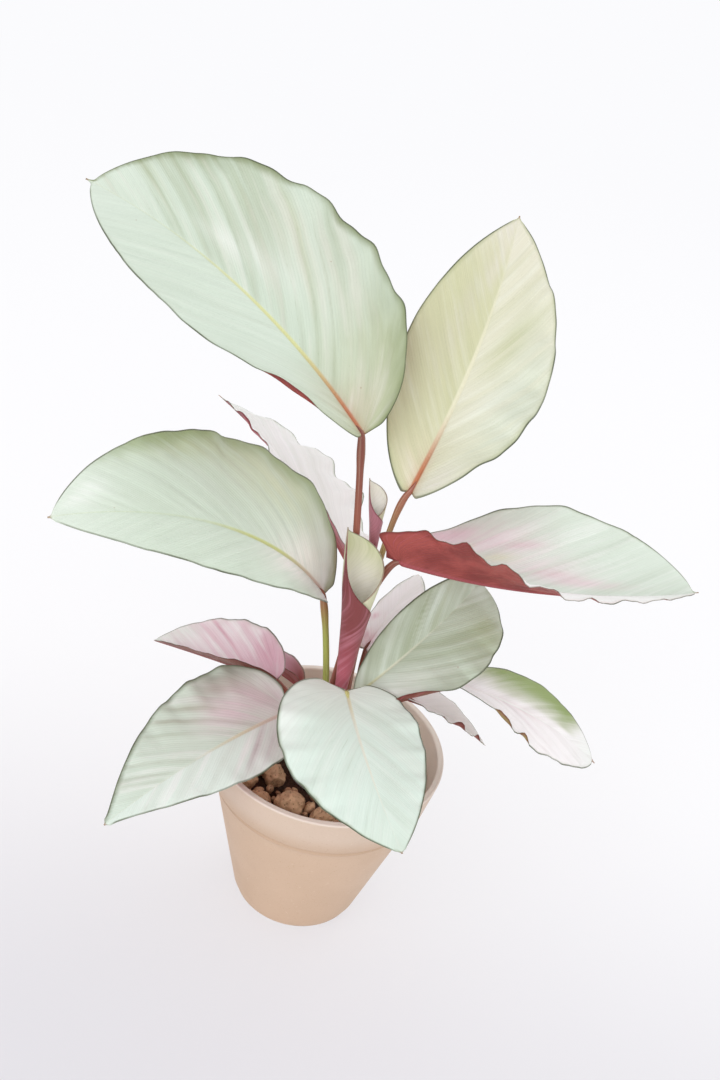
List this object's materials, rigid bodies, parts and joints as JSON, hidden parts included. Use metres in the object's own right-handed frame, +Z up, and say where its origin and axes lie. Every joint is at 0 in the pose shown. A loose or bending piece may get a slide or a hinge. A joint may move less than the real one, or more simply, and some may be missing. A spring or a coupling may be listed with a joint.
{
  "type": "potted calathea",
  "caption": "Bushy calathea house plant with broad silvery-green pointed leaves on thin red stalks, in a tapered round nursery pot topped with brown lava stones.",
  "frame": {"origin": "centre of the pot's flat base, on the surface it stands on", "axes": "+Z up along the pot's axis and the stems, +Y towards the back, +X towards the right-hand leaves as seen from the front"},
  "size_m": [0.2682, 0.1941, 0.3017],
  "materials": {
    "pot_plastic": "matte, finely speckled beige",
    "potting_mix": "rough, dark and crumbly",
    "crown_skin": "matte, fibrous",
    "lava_stone": "rough and pitted",
    "leaf_silver": "satin, pale silver green with fine side veins, maroon underside",
    "leaf_pink": "satin, pink blush over silver green, maroon underside",
    "leaf_rolled": "satin, crimson to magenta outside, olive inside",
    "leaf_stem": "satin, red brown to bright green"
  },
  "bodies": {
    "root": {"pot": "pot_plastic", "soil": "potting_mix", "crown": "crown_skin", "stone_01": "lava_stone", "stone_02": "lava_stone", "stone_03": "lava_stone", "stone_04": "lava_stone", "stone_05": "lava_stone", "stone_06": "lava_stone", "stone_07": "lava_stone", "stone_08": "lava_stone", "stone_09": "lava_stone", "stone_10": "lava_stone", "stone_11": "lava_stone", "stone_12": "lava_stone", "stone_13": "lava_stone", "stone_14": "lava_stone", "stone_15": "lava_stone", "stone_16": "lava_stone", "stone_17": "lava_stone", "stone_18": "lava_stone", "stone_19": "lava_stone", "stone_20": "lava_stone", "leaf_high_left": "leaf_silver", "leaf_high_right": "leaf_silver", "leaf_mid_left": "leaf_silver", "leaf_back_left": "leaf_silver", "leaf_mid_right": "leaf_silver", "leaf_inner_right": "leaf_silver", "leaf_small_back": "leaf_silver", "leaf_front": "leaf_silver", "leaf_front_left": "leaf_silver", "leaf_low_left": "leaf_pink", "leaf_low_right": "leaf_silver", "leaf_small_right": "leaf_silver", "leaf_small_left": "leaf_pink", "leaf_rolled_large": "leaf_rolled", "leaf_rolled_small": "leaf_rolled", "stem_high_left": "leaf_stem", "stem_high_right": "leaf_stem", "stem_mid_left": "leaf_stem", "stem_back_left": "leaf_stem", "stem_mid_right": "leaf_stem", "stem_inner_right": "leaf_stem", "stem_small_back": "leaf_stem", "stem_front": "leaf_stem", "stem_front_left": "leaf_stem", "stem_low_left": "leaf_stem", "stem_low_right": "leaf_stem", "stem_small_right": "leaf_stem", "stem_small_left": "leaf_stem", "stem_rolled_large": "leaf_stem", "stem_rolled_small": "leaf_stem"}
  },
  "joints": []
}
